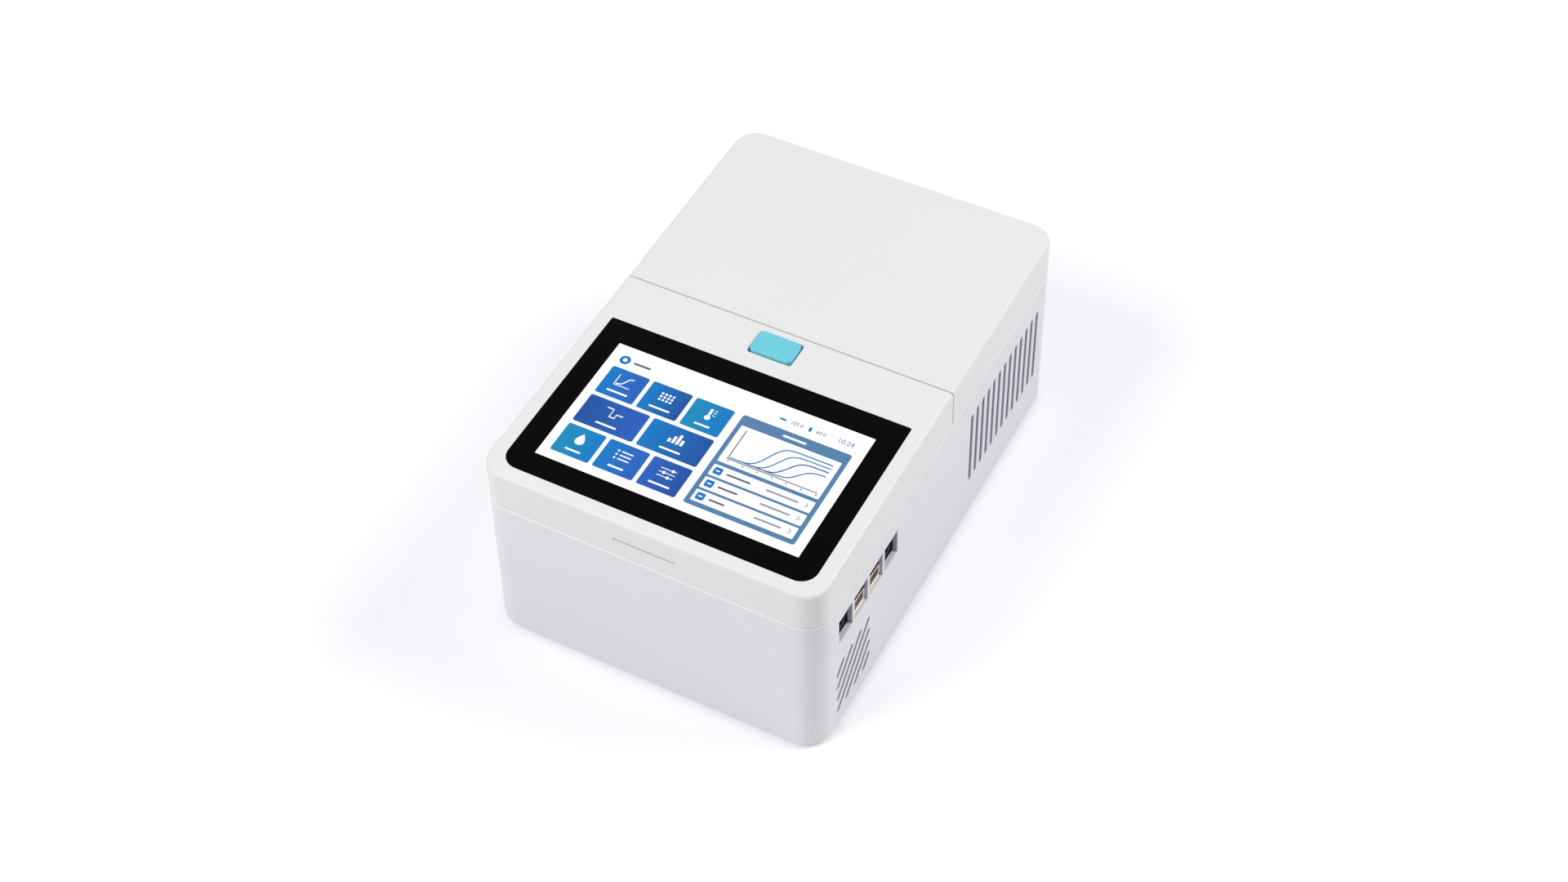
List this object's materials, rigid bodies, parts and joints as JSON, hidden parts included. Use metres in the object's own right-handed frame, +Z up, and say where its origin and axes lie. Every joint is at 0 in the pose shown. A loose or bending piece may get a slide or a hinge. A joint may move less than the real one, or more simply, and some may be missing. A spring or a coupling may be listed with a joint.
{
  "type": "real-time PCR machine",
  "caption": "Bench-top box with a touch screen in front, a hinged heated lid over a block of small wells, a push-button latch, side ports and fan grilles.",
  "frame": {"origin": "middle of the machine's footprint, on the bench", "axes": "+X to the right seen from the front, +Y to the back, +Z up"},
  "size_m": [0.203, 0.3064, 0.1305],
  "materials": {
    "shell_white": "satin",
    "base_grey": "satin",
    "plate_grey": "matt",
    "deck_grey": "matt",
    "screen_glass": "gloss",
    "display": "gloss",
    "sheet_metal": "satin",
    "light_pipe": "gloss",
    "teal": "satin",
    "rubber": "matt",
    "steel": "satin",
    "block_metal": "satin",
    "cooler": "matt",
    "foam": "matt",
    "black_plastic": "matt",
    "white_plastic": "matt",
    "heater": "matt",
    "lens": "gloss",
    "motor": "satin",
    "post_metal": "satin",
    "board_green": "satin"
  },
  "bodies": {
    "base": {"base_housing": "base_grey", "bottom_plate": "plate_grey", "feet": "rubber", "bottom_screws": "steel", "front_cover": "shell_white", "cover_screws": "steel", "cover_glass": "screen_glass", "display_panel": "display", "display_tray": "sheet_metal", "status_light": "light_pipe", "inner_deck": "deck_grey", "deck_screws": "steel", "sample_block": "block_metal", "peltier_coolers": "cooler", "block_collar": "foam", "heat_sink": "block_metal", "sink_posts": "post_metal", "air_duct": "white_plastic", "fan_frame_front": "black_plastic", "fan_frame_rear": "black_plastic", "hinge_base_leaves": "steel", "hinge_pins": "steel", "latch_bracket": "sheet_metal", "latch_pin": "steel", "button_springs": "steel", "main_board": "board_green", "network_port": "black_plastic", "usb_ports": "steel", "service_port": "black_plastic", "board_chassis": "sheet_metal", "board_standoffs": "post_metal", "power_supply": "board_green", "thermal_driver": "board_green", "power_inlet": "black_plastic", "switch_housing": "black_plastic"},
    "lid": {"lid_shell": "shell_white", "lid_liner": "deck_grey", "lid_screws": "steel", "lid_gasket": "rubber", "float_pins": "steel", "plate_springs": "steel", "latch_strike": "steel", "rail_blocks": "white_plastic", "guide_rods": "steel", "stepper_motor": "motor", "hinge_lid_leaves": "steel"},
    "plate": {"heated_plate": "block_metal", "heater_pad": "heater"},
    "optics": {"optics_carriage": "black_plastic", "optics_lenses": "lens"},
    "screw": {"lead_screw": "steel"},
    "button": {"latch_button": "teal"},
    "hook": {"latch_hook": "white_plastic"},
    "fan_front": {"fan_rotor_front": "black_plastic"},
    "fan_rear": {"fan_rotor_rear": "black_plastic"},
    "rocker": {"switch_rocker": "black_plastic"}
  },
  "joints": [
    {"name": "lid_hinge", "type": "hinge", "parent": "base", "child": "lid", "pos_m": [0, 0.15019, 0.10355], "axis": [-1, 0, 0], "range_deg": [0, 85]},
    {"name": "plate_float", "type": "slide", "parent": "lid", "child": "plate", "axis": [0, 0, 1], "range_m": [0, 0.002], "stiffness_N_per_m": 2000, "springref_m": -0.002, "deforming": ["plate_springs"]},
    {"name": "optics_scan", "type": "slide", "parent": "lid", "child": "optics", "axis": [1, 0, 0], "range_m": [0, 0.063]},
    {"name": "lead_screw_turn", "type": "hinge", "parent": "lid", "child": "screw", "pos_m": [0, 0.10941, 0.1165], "axis": [1, 0, 0], "range_deg": [0, 2521]},
    {"name": "button_slide", "type": "slide", "parent": "base", "child": "button", "axis": [0, 0, -1], "range_m": [0, 0.0025], "stiffness_N_per_m": 600, "springref_m": -0.003, "deforming": ["button_springs"]},
    {"name": "hook_turn", "type": "hinge", "parent": "base", "child": "hook", "pos_m": [0, 0.00051, 0.108], "axis": [1, 0, 0], "range_deg": [0, 11.5]},
    {"name": "fan_front_spin", "type": "hinge", "parent": "base", "child": "fan_front", "pos_m": [0.0906, 0.05411, 0.05805], "axis": [1, 0, 0], "continuous": true},
    {"name": "fan_rear_spin", "type": "hinge", "parent": "base", "child": "fan_rear", "pos_m": [0.0906, 0.10471, 0.05805], "axis": [1, 0, 0], "continuous": true},
    {"name": "switch_turn", "type": "hinge", "parent": "base", "child": "rocker", "pos_m": [0.01, 0.14889, 0.035], "axis": [0, 0, 1], "range_deg": [0, 20]}
  ],
  "couplings": [
    {"joint": "lead_screw_turn", "follows": "optics_scan", "rad_per_m": 698.13},
    {"joint": "hook_turn", "follows": "button_slide", "rad_per_m": 76.923}
  ]
}
